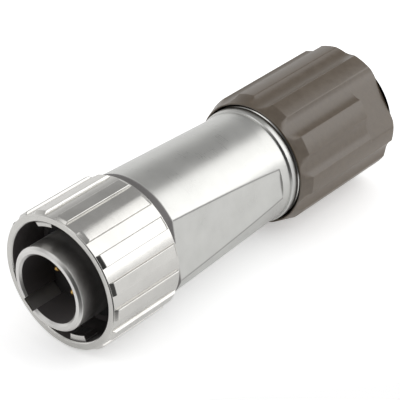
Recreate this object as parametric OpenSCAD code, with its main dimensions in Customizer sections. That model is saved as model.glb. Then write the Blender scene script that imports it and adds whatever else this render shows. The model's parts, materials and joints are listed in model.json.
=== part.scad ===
// Push-pull circular cable plug.
// A ribbed coupling sleeve slides on the plug body against a coil spring, and a
// plastic clamp nut screws onto the gland body and squeezes the cable clamp.
// The plug lies along Y: its nose points to -Y and its cable entry to +Y.
// The origin is on the axis, at the front face of the nose. All sizes in mm.

/* [Plug nose] */
// Outer diameter of the nose
nose_d = 12; // [11:0.1:14]
// Wall of the nose
nose_wall = 1.15; // [0.9:0.05:1.5]
// How far the nose stands out of the sleeve
nose_out = 2.15; // [1:0.05:4]
// Width of the keyway in the nose bore
key_w = 2; // [1:0.1:2.6]
// Depth of the keyway in the nose wall
key_depth = 0.65; // [0.3:0.05:0.8]
// Angle of the keyway, from +X up towards +Z
key_angle = -132; // [-180:1:180]
// Width of the groove behind the nose rim
nose_groove_w = 0.3; // [0.1:0.05:0.5]

/* [Contacts] */
// Number of contacts, which NODES and the last lines of this file list
contact_count = 4; // [4:1:4]
// Diameter of a contact pin
pin_d = 1; // [0.8:0.05:1.2]
// Diameter of the circle that the contacts stand on
contact_circle_d = 5.3; // [4.6:0.1:6]
// Depth of the pin tips below the front face of the nose
pin_depth = 4.1; // [4:0.1:4.8]
// Depth of the insulator face below the front face of the nose
insulator_depth = 5.35; // [5:0.05:6]
// Length of the solder cups behind the rear insulator
cup_len = 3; // [2:0.1:5]

/* [Coupling sleeve] */
// Radial gap between the nose and the sleeve rim
mouth_gap = 2.6; // [2.2:0.05:3.2]
// Length of the sleeve
sleeve_len = 12.4; // [11.8:0.1:16]
// Wall of the sleeve at its rim
sleeve_wall = 1.05; // [0.9:0.05:1.6]
// Number of grip ribs
rib_count = 16; // [8:1:24]
// Height of the grip ribs
rib_h = 0.35; // [0.2:0.05:0.6]
// Share of the pitch that a rib takes
rib_share = 0.5; // [0.35:0.05:0.65]
// Angle of one rib, from +X up towards +Z
rib_angle = 18.6; // [0:0.1:22.5]
// Length of the plain collar in front of the ribs
rim_len = 0.15; // [0.05:0.05:0.6]
// Angular width of the two guide lugs
lug_angle = 21; // [12:1:30]
// Height of the guide lugs
lug_h = 0.8; // [0.4:0.05:1]
// Travel of the sleeve when it is pulled back
stroke = 1.3; // [0.8:0.05:1.6]

/* [Latch and spring] */
// Depth of the mouth, from the sleeve rim to the interface seal
mouth_depth = 5; // [4.4:0.1:6]
// Thickness of the interface seal
seal_t = 1; // [0.6:0.1:1.5]
// Thickness of the hub that the sleeve slides on
hub_t = 2; // [1.5:0.1:3]
// Thickness of the latch ring
latch_t = 0.4; // [0.25:0.05:0.5]
// Angular width of a latch claw
claw_angle = 20; // [12:1:30]
// Thickness of the snap ring in the sleeve
snap_t = 0.55; // [0.4:0.05:0.7]
// Wire diameter of the return spring
wire_d = 0.35; // [0.25:0.05:0.4]
// Turns of the return spring
spring_turns = 3; // [2:0.5:3]
// Length of the return spring
spring_len = 2.6; // [2.4:0.1:4]

/* [Barrel] */
// Length of the guide collar that shows behind the sleeve
collar_show = 1.2; // [0.6:0.1:2.5]
// Wall of the sleeve lip that runs on the collar
lip_wall = 0.3; // [0.25:0.05:0.5]
// Step from the guide collar down to the tapered body
collar_step = 0.15; // [0.05:0.05:0.4]
// Length of the tapered body
taper_len = 21.4; // [18:0.1:30]
// Drop in radius along the taper
taper_drop = 0.85; // [0.4:0.05:1.1]
// Distance across the wrench flats of the barrel
barrel_af = 16; // [15.6:0.1:16.4]
// Angle of the wrench flats, from +X up towards +Z
barrel_flat_angle = 9.4; // [-45:0.1:45]
// Length of the round band behind the flats
band_len = 1.6; // [1:0.1:3]
// Thickness of the barrel flange
flange_t = 1.4; // [1:0.1:2]
// Height of the barrel flange over the tapered body
flange_h = 0.3; // [0.15:0.05:0.5]

/* [Gland body] */
// Thickness of its front flange
gland_flange_t = 1.3; // [1:0.1:2]
// Length of the spigot that screws into the barrel
spigot_len = 6.9; // [5:0.1:10]
// Diameter of the thread for the clamp nut
gland_thread_d = 14.8; // [14.5:0.1:15]

/* [Clamp nut] */
// Length of the nut
nut_len = 21.3; // [20.4:0.1:26]
// Wall of the nut over its mouth
nut_wall = 0.9; // [0.8:0.05:1.4]
// Length of the nose cone of the nut
nut_cone_len = 2; // [1:0.1:3]
// Number of grip flutes
flute_count = 10; // [6:1:12]
// Radius of the flutes
flute_r = 3; // [2:0.1:4]
// Depth of the flutes
flute_depth = 0.65; // [0.3:0.05:0.75]
// Angle of one flute, from +X up towards +Z
flute_angle = 15; // [0:1:36]
// Distance across the two wrench flats of the nut
nut_af = 17.1; // [16.8:0.1:18]
// Angle of a wrench flat of the nut, from +X up towards +Z
nut_flat_angle = 32; // [-90:1:90]
// Length of the wrench flats of the nut
nut_flat_len = 5.8; // [4:0.1:9]
// Thickness of the rear wall of the nut
nut_back_t = 3.6; // [2.5:0.1:5]
// Pitch of the nut thread, for each turn of travel
nut_pitch = 1; // [0.75:0.25:1.5]

/* [Cable clamp] */
// Diameter of the cable that the clamp holds
cable_d = 7; // [5:0.1:7.6]
// Wall of the rubber grommet
grommet_wall = 1.5; // [1:0.05:1.7]
// Number of fingers on the collet
finger_count = 8; // [4:1:12]
// Width of the slots between the fingers
slot_w = 0.8; // [0.4:0.1:1.2]

/* [Clearances] */
// Radial clearance between sliding and turning pieces
run_fit = 0.05; // [0.02:0.01:0.1]
// Radial clearance between pieces that are seated in each other
seat_fit = 0.05; // [0.02:0.01:0.08]
// Gap between a moving piece and its stop
stop_gap = 0.05; // [0.02:0.01:0.15]

/* [Hidden] */
$fn = 96;
eps = 0.01;

// Radii, worked outwards from the nose. Lengths are measured back from the rim.
nose_r = nose_d / 2;
bore_r = nose_r - nose_wall;
rim_bore_r = nose_r + mouth_gap;
valley_r = rim_bore_r + sleeve_wall;
rib_r = valley_r + rib_h;
relief = 0.25;
relief_r = rim_bore_r + relief;
hub_r = relief_r - run_fit;
land_len = 2.6;
rib_chamfer = rib_h + 0.1;

// Plug shell, seal and latch
hub_y = mouth_depth + seal_t;
hub_back = hub_y + hub_t;
tail_r = rim_bore_r - 1.4;
latch_r = tail_r + 0.9;
claw_t = 0.3;
claw_r = latch_r - 0.02;
claw_hook = 0.35;
claw_y = hub_back - 4.6;
neck_y = hub_back + latch_t;
seal_r = latch_r - claw_t - claw_hook - 0.15;
seal_seat_r = nose_r - 0.2;
seal_y = mouth_depth + 0.15;
seat_y = 4;
key_back = seat_y + 0.3;
seat_r = bore_r + 0.45;
insulator_y = insulator_depth - nose_out;
insulator_split = hub_back + 0.5;
insulator_back = insulator_split + 4.1;
contact_step_y = insulator_split - 2;
contact_step_r = pin_d / 2 + 0.35;
contact_tail_r = pin_d / 2 + 0.2;
clip_t = 0.4;
clip_groove = 0.25;
tail_back = insulator_back + 1;

// Snap ring, return spring and guide collar
snap_y = hub_back + stop_gap;
snap_in_r = latch_r + 0.2;
snap_out_r = relief_r + 0.25;
spring_y = snap_y + snap_t;
collar_y = spring_y + spring_len;
spring_r = (snap_in_r + relief_r) / 2 - 0.08;
collar_r = valley_r - lip_wall - run_fit;
collar_back = sleeve_len + collar_show;
lip_r = collar_r + run_fit;
lip_y = collar_y - stroke - 2 * stop_gap;

// Barrel
taper_y = collar_back + 0.3;
taper_r = collar_r - collar_step;
taper_back = taper_y + taper_len;
taper_end_r = taper_r - taper_drop;
band_back = taper_back + band_len;
flange_r = taper_end_r + flange_h;
barrel_back = band_back + flange_t;
edge = 0.18;
tail_bore_r = tail_r + seat_fit;
tail_bore_back = tail_back + 0.4;
chamber_r = tail_r - 0.8;
spigot_bore_r = chamber_r + 0.5;
spigot_r = spigot_bore_r - seat_fit;
spigot_y = barrel_back - spigot_len;

// Gland body
gland_flange_back = barrel_back + gland_flange_t;
gland_neck_len = 0.6;
ring_y = gland_flange_back + gland_neck_len;
ring_t = 0.6;
thread_r = gland_thread_d / 2;
pocket_y = ring_y + 3;
grommet_r = cable_d / 2 + grommet_wall;
collet_in_r = grommet_r + seat_fit;
collet_out_r = collet_in_r + 1.1;
pocket_r = collet_out_r + seat_fit;
gland_bore_r = pocket_r - 0.8;
ferrule_t = 1.2;

// Clamp nut, thrust ring and collet
shroud_gap = 0.3;
mouth_r = flange_r + shroud_gap;
nut_r = mouth_r + nut_wall;
nut_y = barrel_back - 0.2;
nut_back = nut_y + nut_len;
mouth_back = ring_y + ring_t + 0.4;
nut_bore_r = thread_r + run_fit;
nut_wall_y = nut_back - nut_back_t;
nose_lip = 0.25;
entry_r = grommet_r - 0.2;
thrust_t = 3.8;
thrust_back = nut_wall_y - stop_gap;
thrust_y = thrust_back - thrust_t;
thrust_r = nut_bore_r - run_fit;
clamp_gap = 0.45;
head_t = 0.7;
head_back = thrust_y - clamp_gap;
thread_back = head_back - head_t;
head_r = thread_r - 0.4;
finger_back = thrust_back - 0.4;
finger_tip_r = collet_in_r + 0.8;
finger_root_r = collet_in_r + 1.5;
grommet_back = nut_wall_y - 0.3;

function finger_r(y) =
    finger_root_r + (finger_tip_r - finger_root_r) * (y - head_back) / (finger_back - head_back);

// ---------- helpers ----------

// Lays a piece that was turned about its own Z along the plug's axis.
module on_axis() translate([0, nose_out, 0]) rotate([-90, 0, 0]) children();

// Turns a feature to an angle that counts from +X up towards +Z.
module at_angle(a) rotate([0, 0, -a]) children();

// A ring of rectangular section between two radii and two places on the axis.
module ring(r_in, r_out, y0, y1) {
    translate([0, 0, y0]) difference() {
        cylinder(r = r_out, h = y1 - y0);
        translate([0, 0, -1]) cylinder(r = r_in, h = y1 - y0 + 2);
    }
}

// A ring sector of the given angular width, centred on +X.
module sector(r_in, r_out, y0, y1, width) {
    rotate([0, 0, -width / 2]) rotate_extrude(angle = width)
        translate([r_in, y0]) square([r_out - r_in, y1 - y0]);
}

// A rubber ring of round section.
module o_ring(r, section_r, y) {
    translate([0, 0, y]) rotate_extrude() translate([r, 0]) circle(r = section_r, $fn = 32);
}

// The two opposite cuts that leave flats a distance af apart.
module flat_cuts(af, reach, y0, y1) {
    for (turn = [0, 180]) rotate([0, 0, turn])
        translate([af / 2, -reach, y0]) cube([reach, 2 * reach, y1 - y0]);
}

// ---------- plug nose and contacts ----------

module plug_shell() color("silver") on_axis() difference() {
    rotate_extrude() polygon([
        [bore_r + 0.3, -nose_out], [nose_r - 0.35, -nose_out],
        [nose_r, 0.35 - nose_out], [nose_r, 0.9 - nose_out],
        [nose_r - 0.12, 0.9 - nose_out], [nose_r - 0.12, 0.9 + nose_groove_w - nose_out],
        [nose_r, 0.9 + nose_groove_w - nose_out], [nose_r, mouth_depth],
        [seal_seat_r, mouth_depth], [seal_seat_r, hub_y], [hub_r, hub_y],
        [hub_r, hub_back], [tail_r, hub_back], [tail_r, tail_back],
        [seat_r, tail_back], [seat_r, seat_y], [bore_r, seat_y], [bore_r, 0.3 - nose_out]
    ]);
    // keyway
    at_angle(key_angle) translate([0, -key_w / 2, -nose_out - 1])
        cube([bore_r + key_depth, key_w, key_back + nose_out + 1]);
    // windows for the latch claws
    for (side = [0, 180]) at_angle(rib_angle + side)
        sector(latch_r - claw_t - 0.1, hub_r + 1, hub_y - 1, hub_back + 1, claw_angle + 3);
    // groove of the clip and of the rear seal
    ring(seat_r - 0.3, seat_r + clip_groove, insulator_back, insulator_back + clip_t + 0.1);
    ring(tail_r - 0.8, tail_r + 1, neck_y + 2.9, neck_y + 3.9);
}

module shell_o_ring() color("dimgray") on_axis() o_ring(tail_r - 0.37, 0.4, neck_y + 3.4);

module interface_seal() color("black") on_axis()
    ring(seal_seat_r, seal_r, seal_y, hub_y);

module front_insulator() color("#1c1c1e") on_axis() difference() {
    union() {
        ring(0, bore_r - seat_fit, insulator_y, seat_y + eps);
        ring(0, seat_r - seat_fit, seat_y, insulator_split);
        at_angle(key_angle) translate([0, seat_fit - key_w / 2, insulator_y])
            cube([bore_r + key_depth - seat_fit, key_w - 2 * seat_fit,
                key_back - seat_fit - insulator_y]);
    }
    contact_places() {
        translate([0, 0, insulator_y - 1]) cylinder(r = pin_d / 2 + 0.02, h = insulator_split);
        translate([0, 0, contact_step_y]) cylinder(r = contact_step_r + 0.02, h = insulator_split);
    }
}

module rear_insulator() color("#26262a") on_axis() difference() {
    ring(0, seat_r - seat_fit, insulator_split, insulator_back);
    contact_places() translate([0, 0, insulator_split - 1])
        cylinder(r = contact_tail_r + 0.02, h = insulator_back);
}

module insulator_clip() color("gainsboro") on_axis()
    sector(seat_r - 0.6, seat_r + clip_groove - seat_fit, insulator_back + 0.05,
        insulator_back + 0.05 + clip_t, 320);

// Places a feature at each contact.
module contact_places() {
    for (i = [1 : contact_count]) contact_place(i) children();
}

module contact_place(i) {
    at_angle(key_angle + (i - 0.5) * 360 / contact_count)
        translate([contact_circle_d / 2, 0, 0]) children();
}

// A pin with a round tip, a step that the insulators trap, and a solder cup.
module contact(i) color("gold") on_axis() contact_place(i) {
    tip = pin_depth - nose_out;
    cup_back = insulator_back + cup_len;
    translate([0, 0, tip + pin_d / 2]) sphere(d = pin_d);
    difference() {
        union() {
            translate([0, 0, tip + pin_d / 2]) cylinder(d = pin_d, h = insulator_split - tip - 1);
            translate([0, 0, contact_step_y])
                cylinder(r = contact_step_r, h = insulator_split - contact_step_y);
            translate([0, 0, insulator_split - eps])
                cylinder(r = contact_tail_r, h = cup_back - insulator_split);
        }
        translate([0, 0, cup_back - cup_len * 0.7])
            cylinder(r = contact_tail_r - 0.18, h = cup_len);
        translate([0.1, -contact_tail_r, cup_back - cup_len * 0.6])
            cube([contact_tail_r, 2 * contact_tail_r, cup_len]);
    }
}

// ---------- latch, sleeve and spring ----------

// A washer behind the hub, with two claws that reach forward through its windows.
module latch_ring() color("lightsteelblue") on_axis() {
    ring(tail_r + 0.02, latch_r, hub_back, neck_y);
    for (side = [0, 180]) at_angle(rib_angle + side) rotate([0, 0, -claw_angle / 2])
        rotate_extrude(angle = claw_angle) polygon([
            [claw_r - claw_t - claw_hook, claw_y], [claw_r, claw_y], [claw_r, neck_y - claw_t / 2],
            [claw_r - claw_t, neck_y - claw_t / 2], [claw_r - claw_t, claw_y + 0.8],
            [claw_r - claw_t - claw_hook, claw_y + 0.8]
        ]);
}

module coupling_sleeve() color("gainsboro") on_axis() {
    difference() {
        union() {
            rotate_extrude() polygon([
                [rim_bore_r, 0.15], [rim_bore_r + 0.15, 0], [valley_r - 0.12, 0], [valley_r, 0.12],
                [valley_r, sleeve_len - 0.12], [valley_r - 0.12, sleeve_len],
                [lip_r, sleeve_len], [lip_r, lip_y], [relief_r, lip_y],
                [relief_r, land_len], [rim_bore_r, land_len]
            ]);
            for (i = [0 : rib_count - 1]) at_angle(rib_angle + i * 360 / rib_count) rib();
        }
        ring(relief_r - 0.3, snap_out_r + 0.03, snap_y - 0.02, snap_y + snap_t + 0.02);
    }
    // guide lugs
    for (side = [0, 180]) at_angle(rib_angle + 90 + side)
        sector(rim_bore_r - lug_h, rim_bore_r + 0.2, 0.3, land_len, lug_angle);
}

// One grip rib, with its ends cut back at a slant.
module rib() {
    width = 360 / rib_count * rib_share;
    root_r = valley_r - 0.1;
    rotate([0, 0, -width / 2]) rotate_extrude(angle = width) polygon([
        [root_r, rim_len], [valley_r, rim_len], [rib_r, rim_len + rib_chamfer],
        [rib_r, sleeve_len - rib_chamfer - 0.1], [valley_r, sleeve_len - 0.2],
        [root_r, sleeve_len - 0.2]
    ]);
}

module snap_ring() color("darkgray") on_axis()
    sector(snap_in_r, snap_out_r, snap_y, snap_y + snap_t, 330);

// A coil of round wire: rings of points are swept along a helix.
module return_spring() color("slategray") on_axis() {
    sides = 6;
    per_turn = 24;
    rings = spring_turns * per_turn;
    rise = (spring_len - wire_d - 0.04) / rings;
    y0 = spring_y + wire_d / 2 + 0.02;
    points = [for (i = [0 : rings], j = [0 : sides - 1])
        let (a = i * 360 / per_turn, b = j * 360 / sides, r = spring_r + wire_d / 2 * cos(b))
        [r * cos(a), r * sin(a), y0 + i * rise + wire_d / 2 * sin(b)]];
    skin = [for (i = [0 : rings - 1], j = [0 : sides - 1])
        let (k = (j + 1) % sides)
        [i * sides + j, i * sides + k, (i + 1) * sides + k, (i + 1) * sides + j]];
    first = [for (j = [0 : sides - 1]) sides - 1 - j];
    last = [for (j = [0 : sides - 1]) rings * sides + j];
    polyhedron(points, concat(skin, [first, last]), convexity = 6);
}

// ---------- barrel and gland ----------

module barrel() color("silver") on_axis() difference() {
    rotate_extrude() polygon([
        [tail_bore_r, neck_y], [latch_r, neck_y], [latch_r, collar_y], [collar_r, collar_y],
        [collar_r, collar_back - edge], [collar_r - edge / 2, collar_back],
        [taper_r, taper_y], [taper_end_r, taper_back], [taper_end_r, band_back],
        [flange_r - edge, band_back], [flange_r, band_back + edge],
        [flange_r, barrel_back - edge], [flange_r - edge, barrel_back],
        [spigot_bore_r, barrel_back], [spigot_bore_r, spigot_y - 0.1],
        [chamber_r, spigot_y - 0.1], [chamber_r, tail_bore_back], [tail_bore_r, tail_bore_back]
    ]);
    at_angle(barrel_flat_angle) flat_cuts(barrel_af, 2 * collar_r, collar_y - 1,
        taper_back - 0.05);
}

module gland_body() color("silver") on_axis() difference() {
    rotate_extrude() polygon([
        [gland_bore_r, spigot_y], [spigot_r, spigot_y], [spigot_r, barrel_back],
        [flange_r - edge, barrel_back], [flange_r, barrel_back + edge],
        [flange_r, gland_flange_back - edge], [flange_r - edge, gland_flange_back],
        [thread_r + 0.2, gland_flange_back], [thread_r + 0.2, ring_y], [flange_r - 0.4, ring_y],
        [flange_r - 0.3, ring_y + 0.1], [flange_r - 0.3, ring_y + ring_t],
        [thread_r, ring_y + ring_t], [thread_r, thread_back - 0.4],
        [thread_r - 0.4, thread_back], [pocket_r, thread_back], [pocket_r, pocket_y],
        [gland_bore_r, pocket_y]
    ]);
    ring(spigot_r - 0.72, spigot_r + 1, spigot_y + 1.8, spigot_y + 2.8);
}

module gland_o_ring() color("dimgray") on_axis() o_ring(spigot_r - 0.34, 0.37, spigot_y + 2.3);

// ---------- cable clamp ----------

module shield_ferrule() color("darkgray") on_axis() rotate_extrude() polygon([
    [cable_d / 2 + 0.2, pocket_y], [pocket_r - seat_fit, pocket_y],
    [pocket_r - seat_fit, pocket_y + ferrule_t], [cable_d / 2 + 0.9, pocket_y + ferrule_t]
]);

module cable_grommet() color("#202020") on_axis() rotate_extrude() polygon([
    [cable_d / 2, pocket_y + ferrule_t], [grommet_r, pocket_y + ferrule_t],
    [grommet_r, grommet_back], [cable_d / 2 + 0.4, grommet_back],
    [cable_d / 2, grommet_back - 0.4]
]);

// A cage of fingers that the thrust ring squeezes onto the grommet.
module clamp_collet() color("#303034") on_axis() difference() {
    rotate_extrude() polygon([
        [collet_in_r, pocket_y + ferrule_t], [collet_out_r, pocket_y + ferrule_t],
        [collet_out_r, thread_back], [head_r, thread_back], [head_r, head_back],
        [finger_root_r, head_back], [finger_tip_r, finger_back], [collet_in_r, finger_back]
    ]);
    for (i = [0 : finger_count - 1]) rotate([0, 0, i * 360 / finger_count])
        translate([0, -slot_w / 2, head_back + 0.3]) cube([2 * head_r, slot_w, thrust_t + 9]);
}

module thrust_ring() color("#8a857c") on_axis() rotate_extrude() polygon([
    [finger_r(thrust_y) + 0.15, thrust_y], [thrust_r, thrust_y], [thrust_r, thrust_back],
    [finger_tip_r + 0.15, thrust_back], [finger_tip_r + 0.15, finger_back]
]);

module clamp_nut() color("#6b6056") on_axis() difference() {
    rotate_extrude() polygon([
        [mouth_r, nut_y + 0.15], [mouth_r + nose_lip - 0.1, nut_y], [mouth_r + nose_lip, nut_y + 0.1],
        [nut_r, nut_y + nut_cone_len], [nut_r, nut_back - 0.4], [nut_r - 0.4, nut_back],
        [entry_r + 0.9, nut_back], [entry_r, nut_back - 0.9], [entry_r, nut_wall_y],
        [nut_bore_r, nut_wall_y], [nut_bore_r, mouth_back + 0.4], [mouth_r, mouth_back]
    ]);
    for (i = [0 : flute_count - 1]) at_angle(flute_angle + i * 360 / flute_count)
        translate([nut_r + flute_r - flute_depth, 0, nut_y - 1])
            cylinder(r = flute_r, h = nut_len + 2);
    at_angle(nut_flat_angle)
        flat_cuts(nut_af, 2 * nut_r, nut_back - nut_flat_len, nut_back + 1);
}

plug_shell();
interface_seal();
latch_ring();
front_insulator();
rear_insulator();
insulator_clip();
contact(1);  // contact_1
contact(2);  // contact_2
contact(3);  // contact_3
contact(4);  // contact_4
shell_o_ring();
return_spring();
barrel();
gland_o_ring();
gland_body();
shield_ferrule();
cable_grommet();
clamp_collet();
coupling_sleeve();
snap_ring();
thrust_ring();
clamp_nut();
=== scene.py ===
"""A push-pull cable plug: a keyed nose with four pins, a ribbed coupling sleeve, a
tapered barrel with wrench flats, and a fluted clamp nut at the cable end.

The plug lies along Y, its nose to -Y. Shapes are worked out in millimetres, with
lengths measured back from the front rim of the sleeve, and angles counted from +X
up towards +Z. A turned shape is a closed profile of (length, radius) points that
is carried round the axis, and its radius may change with the angle, which makes
the ribs, the flutes, the flats and the keyway.
"""

import json
import math

import bmesh
import bpy
import numpy as np
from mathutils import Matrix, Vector


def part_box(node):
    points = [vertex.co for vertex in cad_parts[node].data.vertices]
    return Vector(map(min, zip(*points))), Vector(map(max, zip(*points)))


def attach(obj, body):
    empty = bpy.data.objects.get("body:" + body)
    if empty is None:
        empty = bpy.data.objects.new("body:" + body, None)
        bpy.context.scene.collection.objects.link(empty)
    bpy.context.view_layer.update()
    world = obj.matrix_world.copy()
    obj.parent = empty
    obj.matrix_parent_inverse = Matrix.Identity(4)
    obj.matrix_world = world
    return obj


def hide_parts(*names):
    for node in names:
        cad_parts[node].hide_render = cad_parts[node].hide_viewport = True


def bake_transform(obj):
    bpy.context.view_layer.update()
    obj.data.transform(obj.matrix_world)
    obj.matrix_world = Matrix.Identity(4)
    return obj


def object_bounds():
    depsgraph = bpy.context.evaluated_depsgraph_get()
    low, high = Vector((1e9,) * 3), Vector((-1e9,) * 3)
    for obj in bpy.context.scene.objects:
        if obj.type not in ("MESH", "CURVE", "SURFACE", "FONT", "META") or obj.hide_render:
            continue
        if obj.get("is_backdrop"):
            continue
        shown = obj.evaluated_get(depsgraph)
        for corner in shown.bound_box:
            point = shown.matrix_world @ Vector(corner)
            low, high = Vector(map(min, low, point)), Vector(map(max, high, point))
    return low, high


bl_info = {
    "name": "Push-pull cable plug",
    "version": (1, 0, 0),
    "blender": (4, 5, 0),
    "location": "View3D > Sidebar > Plug",
    "description": "Builds a push-pull circular cable plug around its fixed frame",
    "category": "Add Mesh",
}

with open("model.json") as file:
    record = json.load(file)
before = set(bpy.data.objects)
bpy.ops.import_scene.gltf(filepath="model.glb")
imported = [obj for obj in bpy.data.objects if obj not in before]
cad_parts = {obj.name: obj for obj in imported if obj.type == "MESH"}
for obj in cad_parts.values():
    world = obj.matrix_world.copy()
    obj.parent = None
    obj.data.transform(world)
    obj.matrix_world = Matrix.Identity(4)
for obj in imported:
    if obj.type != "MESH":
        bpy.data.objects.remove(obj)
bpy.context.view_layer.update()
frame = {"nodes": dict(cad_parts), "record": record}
MM = 0.001
CAMERA_AT = (0.133839, -0.123991, 0.132357)
CAMERA_DOWN, CAMERA_TURN = 33.184, 41.083  # degrees below the horizon, and from +Y
CAMERA_LENS = 159.3


def span(node):
    """Front and back of a CAD node on the axis, measured back from the sleeve's rim, in mm."""
    low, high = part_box(node)
    return (low.y - RIM) / MM, (high.y - RIM) / MM


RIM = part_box("coupling_sleeve")[0].y
NOSE_FRONT = span("plug_shell")[0]
SLEEVE_BACK = span("coupling_sleeve")[1]
SNAP_FRONT, SNAP_BACK = span("snap_ring")
BARREL_BACK = span("barrel")[1]
NUT_FRONT, NUT_BACK = span("clamp_nut")
GLAND_BACK = span("gland_body")[1]
GROMMET_FRONT, GROMMET_BACK = span("cable_grommet")
SPRING_FRONT, SPRING_BACK = span("return_spring")
NECK = span("barrel")[0]


# ---------- sizes and colours ----------


def length(name, about, mm):
    """A size in metres whose default is given in millimetres."""
    return bpy.props.FloatProperty(
        name=name, description=about, default=mm * MM, min=0.0, precision=5, unit="LENGTH"
    )


def angle(name, about, degrees):
    """An angle whose default is given in degrees."""
    return bpy.props.FloatProperty(
        name=name, description=about, default=math.radians(degrees), subtype="ANGLE"
    )


def tint(name, about, rgb):
    """A linear colour."""
    return bpy.props.FloatVectorProperty(
        name=name, description=about, default=rgb, size=3, min=0.0, max=1.0, subtype="COLOR"
    )


class PLUG_PG_nose(bpy.types.PropertyGroup):
    """Sizes of the nose, its keyway and its contacts."""

    outer_r: length("Nose radius", "Outer radius of the nose", 6.0)
    bore_r: length("Bore radius", "Radius of the bore around the pins", 4.85)
    seal_seat: length("Seal seat", "Step in the nose under the interface seal", 0.2)
    seal_front: length("Mouth depth", "From the rim to the interface seal", 5.0)
    hub_front: length("Hub front", "From the rim to the hub", 6.0)
    hub_back: length("Hub back", "From the rim to the back of the hub", 8.0)
    hub_r: length("Hub radius", "Radius of the hub that the sleeve slides on", 8.8)
    tail_r: length("Tail radius", "Outer radius of the tail inside the barrel", 7.2)
    seat_r: length("Insert seat", "Bore radius around the insulators", 5.3)
    seat_front: length("Insert step", "From the rim to the step of the bore", 4.0)
    key_angle: angle("Keyway angle", "Where the keyway stands", -132.0)
    key_width: length("Keyway width", "Width of the keyway", 2.0)
    key_depth: length("Keyway depth", "Depth of the keyway in the nose wall", 0.65)
    window_angle: angle("Window angle", "Where the first latch window stands", 18.6)
    window_width: angle("Window width", "Angle that a latch window takes", 23.0)
    pin_r: length("Pin radius", "Radius of a contact pin", 0.5)
    circle_r: length("Contact circle", "Radius of the circle of the contacts", 2.65)


class PLUG_PG_sleeve(bpy.types.PropertyGroup):
    """Sizes of the coupling sleeve."""

    rib_r: length("Rib radius", "Radius over the grip ribs", 10.0)
    rib_h: length("Rib height", "Height of a rib over the valleys", 0.35)
    rib_share: bpy.props.FloatProperty(
        name="Rib share", description="Share of the pitch that a rib takes",
        default=50.0, min=20.0, max=80.0, subtype="PERCENTAGE",
    )
    rib_count: bpy.props.IntProperty(
        name="Ribs", description="Number of grip ribs", default=16, min=4, max=40
    )
    rib_angle: angle("Rib angle", "Where the first rib stands", 18.6)
    rim_len: length("Rim", "Length of the plain rim in front of the ribs", 0.15)
    bore_r: length("Mouth radius", "Bore radius at the rim", 8.6)
    relief_r: length("Inner radius", "Bore radius behind the land", 8.85)
    land_len: length("Land", "Length of the narrow bore at the rim", 2.6)
    lip_r: length("Lip radius", "Bore radius that runs on the collar", 9.35)
    lip_front: length("Lip front", "From the rim to the rear counterbore", 9.8)
    lug_h: length("Lug height", "Height of a guide lug in the mouth", 0.8)
    lug_width: angle("Lug width", "Angle that a guide lug takes", 21.0)
    coil_r: length("Coil radius", "Middle radius of the return spring", 8.495)
    wire_r: length("Wire radius", "Radius of the spring's wire", 0.175)


class PLUG_PG_barrel(bpy.types.PropertyGroup):
    """Sizes of the barrel and of the gland body behind it."""

    collar_r: length("Collar radius", "Radius of the collar that guides the sleeve", 9.3)
    collar_front: length("Collar front", "From the rim to the collar", 11.2)
    collar_back: length("Collar back", "From the rim to the back of the collar", 13.6)
    neck_r: length("Neck radius", "Radius inside the return spring", 8.1)
    taper_front: length("Taper front", "From the rim to the tapered body", 13.9)
    taper_back: length("Taper back", "From the rim to the end of the taper", 35.3)
    taper_r: length("Taper radius", "Radius at the front of the taper", 9.15)
    band_r: length("Band radius", "Radius at the back of the taper", 8.3)
    band_back: length("Band back", "From the rim to the flange", 36.9)
    flange_r: length("Flange radius", "Radius of the flange", 8.6)
    flat_half: length("Flat distance", "From the axis to a wrench flat", 8.0)
    flat_angle: angle("Flat angle", "Where the first wrench flat stands", 9.4)
    tail_bore_r: length("Front bore", "Bore around the nose's tail", 7.25)
    chamber_r: length("Chamber", "Bore radius of the wiring chamber", 6.4)
    chamber_front: length("Chamber front", "From the rim to the wiring chamber", 13.7)
    spigot_r: length("Spigot radius", "Radius of the gland body's spigot", 6.85)
    spigot_len: length("Spigot length", "Length of the spigot in the barrel", 6.9)
    gland_flange: length("Gland flange", "Thickness of the gland body's flange", 1.3)
    ring_gap: length("Ring gap", "Gap between the flange and the small ring", 0.6)
    ring_len: length("Small ring", "Thickness of the small ring", 0.6)
    thread_r: length("Thread radius", "Radius over the gland thread", 7.4)
    thread_depth: length("Thread depth", "Depth of the gland thread", 0.45)
    thread_pitch: length("Thread pitch", "Pitch of the gland thread", 1.0)
    pocket_r: length("Pocket radius", "Bore radius around the cable clamp", 6.2)
    pocket_front: length("Pocket front", "From the rim to the clamp's pocket", 43.2)


class PLUG_PG_nut(bpy.types.PropertyGroup):
    """Sizes of the clamp nut."""

    outer_r: length("Nut radius", "Radius over the lands of the nut", 9.8)
    mouth_r: length("Mouth radius", "Radius of the recess over the barrel", 8.9)
    mouth_depth: length("Mouth depth", "Depth of that recess", 3.1)
    bore_r: length("Thread bore", "Bore radius of the nut", 7.45)
    cone_len: length("Cone", "Length of the sloping front", 2.0)
    entry_r: length("Entry radius", "Radius of the cable entry", 4.8)
    wall: length("Rear wall", "Thickness of the rear wall", 3.6)
    flute_count: bpy.props.IntProperty(
        name="Flutes", description="Number of grip flutes", default=10, min=3, max=20
    )
    flute_r: length("Flute radius", "Radius of a flute's hollow", 3.0)
    flute_depth: length("Flute depth", "Depth of a flute", 0.65)
    flute_angle: angle("Flute angle", "Where the first flute stands", 15.0)
    flat_half: length("Flat distance", "From the axis to a wrench flat", 8.55)
    flat_angle: angle("Flat angle", "Where the first wrench flat stands", 32.0)
    flat_len: length("Flat length", "Length of the wrench flats", 5.8)


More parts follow.
